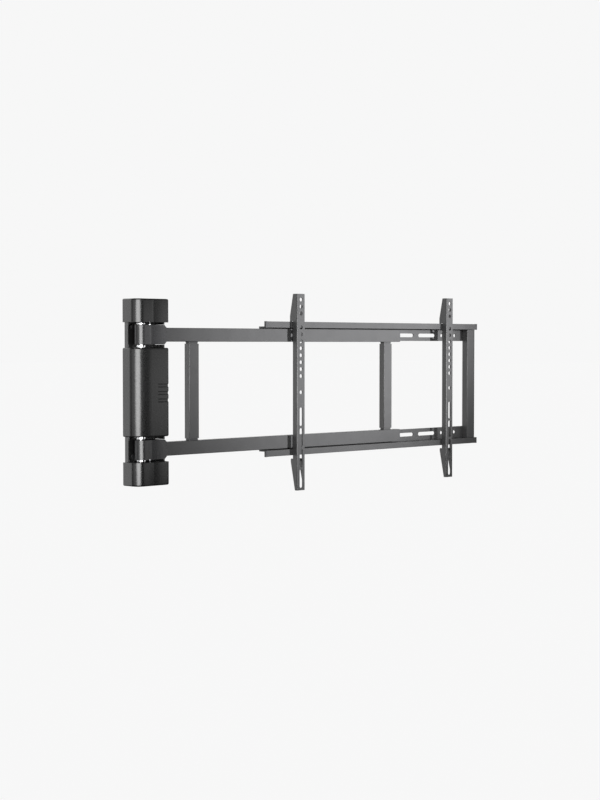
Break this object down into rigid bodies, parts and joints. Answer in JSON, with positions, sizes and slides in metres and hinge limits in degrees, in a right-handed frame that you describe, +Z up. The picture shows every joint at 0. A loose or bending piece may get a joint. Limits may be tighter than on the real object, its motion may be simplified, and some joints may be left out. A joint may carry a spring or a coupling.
{
  "type": "motorised swing tv wall mount",
  "caption": "Motorised wall mount for a flat television: a motor column, a double swing arm, a sliding rail frame and hook-on brackets with screw slots.",
  "frame": {"origin": "centre of the wall bolt pattern on the wall plate's back face", "axes": "+X right along the wall, away from the hinge; the room is on the -Y side and +Y points into the wall; +Z up"},
  "size_m": [1.0517, 0.053, 0.425],
  "materials": {
    "powder_coat": "fine matte black powder coat",
    "bracket_coat": "fine matte black powder coat",
    "hub_coat": "smooth satin black paint",
    "cover_plastic": "satin black moulded plastic",
    "black_plastic": "matte black moulded plastic",
    "lead_jacket": "soft lead insulation",
    "zinc_steel": "zinc plated steel",
    "polished_steel": "polished steel",
    "block_aluminium": "black anodised, machined",
    "bronze": "oil-filled bronze",
    "gear_brass": "machined brass",
    "motor_can": "plated motor can",
    "gearbox_zinc": "die-cast, tumbled",
    "board_green": "solder mask over glass-fibre board"
  },
  "bodies": {
    "wall_unit": {"wall_plate": "powder_coat", "top_pivot_block": "block_aluminium", "upper_inner_pivot_block": "block_aluminium", "lower_inner_pivot_block": "block_aluminium", "bottom_pivot_block": "block_aluminium", "pivot_bushes": "bronze", "pivot_block_screws": "zinc_steel", "top_cap": "cover_plastic", "bottom_cap": "cover_plastic", "motor_housing": "cover_plastic", "cover_screws": "zinc_steel", "motor": "motor_can", "gearbox": "gearbox_zinc", "motor_bracket": "zinc_steel", "motor_screws": "zinc_steel", "control_board": "board_green", "board_parts": "black_plastic", "board_standoffs": "gear_brass", "limit_switches": "black_plastic", "power_inlet": "black_plastic", "hole_plugs": "black_plastic", "inlet_lead": "lead_jacket", "motor_leads": "lead_jacket"},
    "swing_frame": {"drive_shaft": "polished_steel", "shaft_clips": "zinc_steel", "drive_gear": "gear_brass", "thrust_washers": "polished_steel", "stop_pins": "polished_steel", "upper_hub": "hub_coat", "lower_hub": "hub_coat", "hub_screws": "zinc_steel", "upper_arm": "powder_coat", "lower_arm": "powder_coat", "inner_post": "powder_coat", "outer_post": "powder_coat", "post_tabs": "powder_coat", "arm_end_plugs": "black_plastic", "arm_rivet_nuts": "zinc_steel", "rail_bolts": "zinc_steel", "rail_washers": "zinc_steel"},
    "pinion": {"motor_pinion": "gear_brass"},
    "tv_rails": {"upper_rail": "powder_coat", "lower_rail": "powder_coat", "rail_end_post": "powder_coat", "rail_end_caps": "black_plastic", "end_post_screws": "zinc_steel"},
    "left_tv_bracket": {"left_bracket": "bracket_coat", "left_lock_tab": "bracket_coat", "left_lock_screw": "zinc_steel"},
    "right_tv_bracket": {"right_bracket": "bracket_coat", "right_lock_tab": "bracket_coat", "right_lock_screw": "zinc_steel"}
  },
  "joints": [
    {"name": "arm_swing", "type": "hinge", "parent": "wall_unit", "child": "swing_frame", "pos_m": [-0.0155, -0.024, 0], "axis": [0, 0, -1], "range_deg": [0, 90]},
    {"name": "pinion_spin", "type": "hinge", "parent": "wall_unit", "child": "pinion", "pos_m": [0.0105, -0.024, 0], "axis": [0, 0, -1], "range_deg": [-144, 0]},
    {"name": "rail_slide", "type": "slide", "parent": "swing_frame", "child": "tv_rails", "axis": [1, 0, 0], "range_m": [-0.025, 0.025]},
    {"name": "left_bracket_slide", "type": "slide", "parent": "tv_rails", "child": "left_tv_bracket", "axis": [1, 0, 0], "range_m": [-0.07, 0.2]},
    {"name": "right_bracket_slide", "type": "slide", "parent": "tv_rails", "child": "right_tv_bracket", "axis": [1, 0, 0], "range_m": [-0.2, 0.09]}
  ],
  "couplings": [
    {"joint": "pinion_spin", "follows": "arm_swing", "ratio": -1.6}
  ]
}
